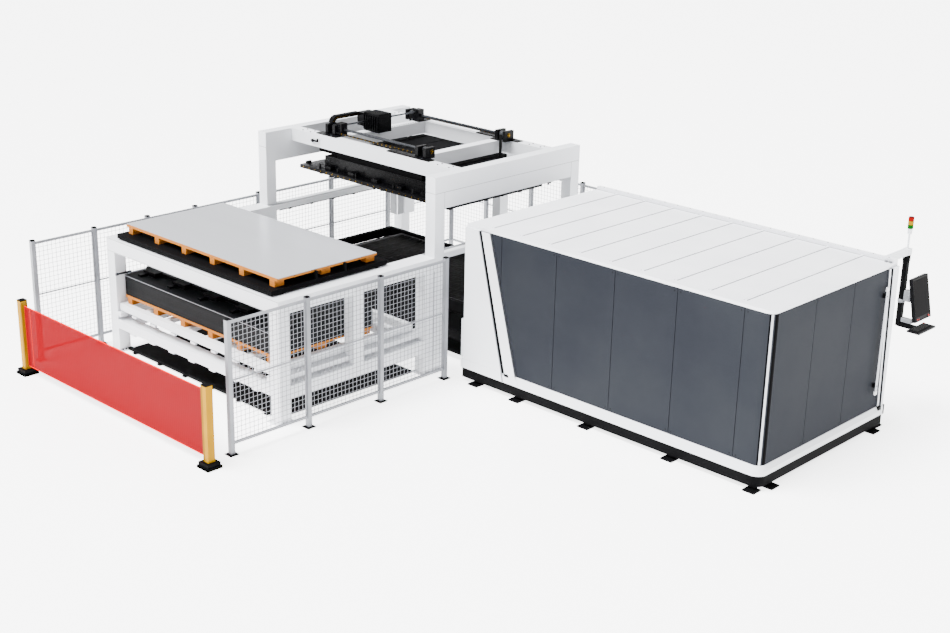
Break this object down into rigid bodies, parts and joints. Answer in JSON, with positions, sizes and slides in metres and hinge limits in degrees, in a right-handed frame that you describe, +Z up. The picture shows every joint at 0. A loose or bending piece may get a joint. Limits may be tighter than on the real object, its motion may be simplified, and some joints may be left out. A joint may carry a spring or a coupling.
{
  "type": "fiber laser cutting machine",
  "caption": "Enclosed fiber laser cutter with an exchange table, a sheet store, a suction-frame loading portal, mesh fences and light-curtain posts.",
  "frame": {"origin": "on the floor, under the centre of the cell's bounding box", "axes": "+Z up; +X from the loader towards the cutter's far end; -Y is the operator's side, with the light curtain"},
  "size_m": [8.825, 7.98, 2.7983],
  "materials": {
    "base_frame": "satin",
    "bridge_beam": "satin",
    "cabin_frame": "satin",
    "console_arm": "satin",
    "console_post": "satin",
    "corner_post": "gloss",
    "cutting_head": "brushed",
    "door_handle": "brushed",
    "end_door": "gloss",
    "end_inclined_trim": "satin",
    "end_panels": "gloss",
    "energy_chain": "matt",
    "exchange_frame": "satin",
    "fence_back": "satin",
    "fence_left": "satin",
    "fence_right": "satin",
    "fibre_source": "satin",
    "front_inclined_trim": "satin",
    "front_panels": "gloss",
    "guard_post_left": "satin",
    "guard_post_right": "satin",
    "head_carriage": "satin",
    "hoist_cross_shaft": "machined",
    "hoist_frame": "satin",
    "hoist_motor": "satin",
    "hoist_shaft_front": "machined",
    "hoist_shaft_rear": "machined",
    "hoist_station_front_left": "satin",
    "hoist_station_front_right": "satin",
    "hoist_station_rear_left": "satin",
    "hoist_station_rear_right": "satin",
    "keyboard_tray": "matt",
    "lift_belt_front_left": "matt",
    "lift_belt_front_right": "matt",
    "lift_belt_rear_left": "matt",
    "lift_belt_rear_right": "matt",
    "light_field": "satin",
    "lower_trolley": "satin",
    "lower_wood_pallet": "sawn",
    "machine_bed": "satin",
    "monitor": "matt",
    "pallet_lower": "machined",
    "pallet_upper": "machined",
    "port_end_cover": "satin",
    "port_shutter": "satin",
    "portal_rear_frame": "satin",
    "portal_side_left": "satin",
    "portal_side_right": "satin",
    "rear_corner_cover": "satin",
    "rear_wall": "satin",
    "roof": "satin",
    "sheet_stack": "rolled",
    "signal_lamps": "gloss",
    "skirt_rim": "satin",
    "stop_button": "gloss",
    "store_frame": "satin",
    "suction_frame": "satin",
    "upper_sheet": "rolled",
    "upper_trolley": "satin",
    "upper_wood_pallet": "sawn"
  },
  "bodies": {
    "cell": {"base_frame": "base_frame", "cabin_frame": "cabin_frame", "console_arm": "console_arm", "corner_post": "corner_post", "end_inclined_trim": "end_inclined_trim", "end_panels": "end_panels", "energy_chain": "energy_chain", "exchange_frame": "exchange_frame", "fence_back": "fence_back", "fence_left": "fence_left", "fence_right": "fence_right", "fibre_source": "fibre_source", "front_inclined_trim": "front_inclined_trim", "front_panels": "front_panels", "guard_post_left": "guard_post_left", "guard_post_right": "guard_post_right", "hoist_frame": "hoist_frame", "hoist_motor": "hoist_motor", "hoist_station_front_left": "hoist_station_front_left", "hoist_station_front_right": "hoist_station_front_right", "hoist_station_rear_left": "hoist_station_rear_left", "hoist_station_rear_right": "hoist_station_rear_right", "lift_belt_front_left": "lift_belt_front_left", "lift_belt_front_right": "lift_belt_front_right", "lift_belt_rear_left": "lift_belt_rear_left", "lift_belt_rear_right": "lift_belt_rear_right", "light_field": "light_field", "machine_bed": "machine_bed", "port_end_cover": "port_end_cover", "portal_rear_frame": "portal_rear_frame", "portal_side_left": "portal_side_left", "portal_side_right": "portal_side_right", "rear_corner_cover": "rear_corner_cover", "rear_wall": "rear_wall", "roof": "roof", "signal_lamps": "signal_lamps", "skirt_rim": "skirt_rim", "store_frame": "store_frame"},
    "upper_trolley": {"upper_trolley": "upper_trolley", "upper_wood_pallet": "upper_wood_pallet", "upper_sheet": "upper_sheet"},
    "lower_trolley": {"lower_trolley": "lower_trolley", "lower_wood_pallet": "lower_wood_pallet", "sheet_stack": "sheet_stack"},
    "pallet_upper": {"pallet_upper": "pallet_upper"},
    "pallet_lower": {"pallet_lower": "pallet_lower"},
    "bridge": {"bridge_beam": "bridge_beam"},
    "carriage": {"head_carriage": "head_carriage"},
    "head": {"cutting_head": "cutting_head"},
    "port_shutter": {"port_shutter": "port_shutter"},
    "end_door": {"end_door": "end_door", "door_handle": "door_handle"},
    "console": {"console_post": "console_post"},
    "monitor": {"monitor": "monitor"},
    "stop_button": {"stop_button": "stop_button"},
    "keyboard_tray": {"keyboard_tray": "keyboard_tray"},
    "suction_frame": {"suction_frame": "suction_frame"},
    "hoist_shaft_front": {"hoist_shaft_front": "hoist_shaft_front"},
    "hoist_shaft_rear": {"hoist_shaft_rear": "hoist_shaft_rear"},
    "hoist_cross_shaft": {"hoist_cross_shaft": "hoist_cross_shaft"}
  },
  "joints": [
    {"name": "hoist_lift", "type": "slide", "parent": "cell", "child": "suction_frame", "axis": [0, 0, 1], "range_m": [-1.09, 0], "deforming": ["lift_belt_front_left", "lift_belt_front_right", "lift_belt_rear_left", "lift_belt_rear_right"]},
    {"name": "front_shaft_turn", "type": "hinge", "parent": "cell", "child": "hoist_shaft_front", "pos_m": [-2.3625, 0.542, 2.6383], "axis": [1, 0, 0], "range_deg": [-1330, 0]},
    {"name": "rear_shaft_turn", "type": "hinge", "parent": "cell", "child": "hoist_shaft_rear", "pos_m": [-2.3625, 1.993, 2.6383], "axis": [1, 0, 0], "range_deg": [0, 1330]},
    {"name": "cross_shaft_turn", "type": "hinge", "parent": "cell", "child": "hoist_cross_shaft", "pos_m": [-3.1325, 0.487, 2.6863], "axis": [0, 1, 0], "range_deg": [-1330, 0]},
    {"name": "upper_trolley_roll", "type": "slide", "parent": "cell", "child": "upper_trolley", "axis": [0, 1, 0], "range_m": [0, 2.945]},
    {"name": "lower_trolley_roll", "type": "slide", "parent": "cell", "child": "lower_trolley", "axis": [0, 1, 0], "range_m": [-1.05, 0]},
    {"name": "upper_pallet_exchange", "type": "slide", "parent": "cell", "child": "pallet_upper", "axis": [1, 0, 0], "range_m": [0, 4.07]},
    {"name": "lower_pallet_exchange", "type": "slide", "parent": "cell", "child": "pallet_lower", "axis": [1, 0, 0], "range_m": [-4.07, 0]},
    {"name": "bridge_travel", "type": "slide", "parent": "cell", "child": "bridge", "axis": [1, 0, 0], "range_m": [-2.85, 0]},
    {"name": "carriage_travel", "type": "slide", "parent": "bridge", "child": "carriage", "axis": [0, 1, 0], "range_m": [-0.6, 0.6]},
    {"name": "head_height", "type": "slide", "parent": "carriage", "child": "head", "axis": [0, 0, 1], "range_m": [-0.1, 0.05]},
    {"name": "port_shutter_drop", "type": "slide", "parent": "cell", "child": "port_shutter", "axis": [0, 0, 1], "range_m": [-0.62, 0]},
    {"name": "end_door_swing", "type": "hinge", "parent": "cell", "child": "end_door", "pos_m": [4.2275, 1.58925, 0.2953], "axis": [0, 0, 1], "range_deg": [-100, 0]},
    {"name": "console_swing", "type": "hinge", "parent": "cell", "child": "console", "pos_m": [4.0375, 3.075, 0], "axis": [0, 0, 1], "range_deg": [-60, 60]},
    {"name": "monitor_tilt", "type": "hinge", "parent": "console", "child": "monitor", "pos_m": [4.2275, 3.075, 1.49], "axis": [0, 1, 0], "range_deg": [-10, 10]},
    {"name": "stop_button_press", "type": "slide", "parent": "monitor", "child": "stop_button", "axis": [-0.9781, 0, -0.2079], "range_m": [0, 0.004], "stiffness_N_per_m": 500},
    {"name": "keyboard_tray_fold", "type": "hinge", "parent": "console", "child": "keyboard_tray", "pos_m": [4.2525, 3.075, 1.118], "axis": [0, 1, 0], "range_deg": [0, 80]}
  ],
  "couplings": [
    {"joint": "front_shaft_turn", "follows": "hoist_lift", "rad_per_m": 21.142},
    {"joint": "rear_shaft_turn", "follows": "hoist_lift", "rad_per_m": -21.142},
    {"joint": "cross_shaft_turn", "follows": "hoist_lift", "rad_per_m": 21.142}
  ]
}
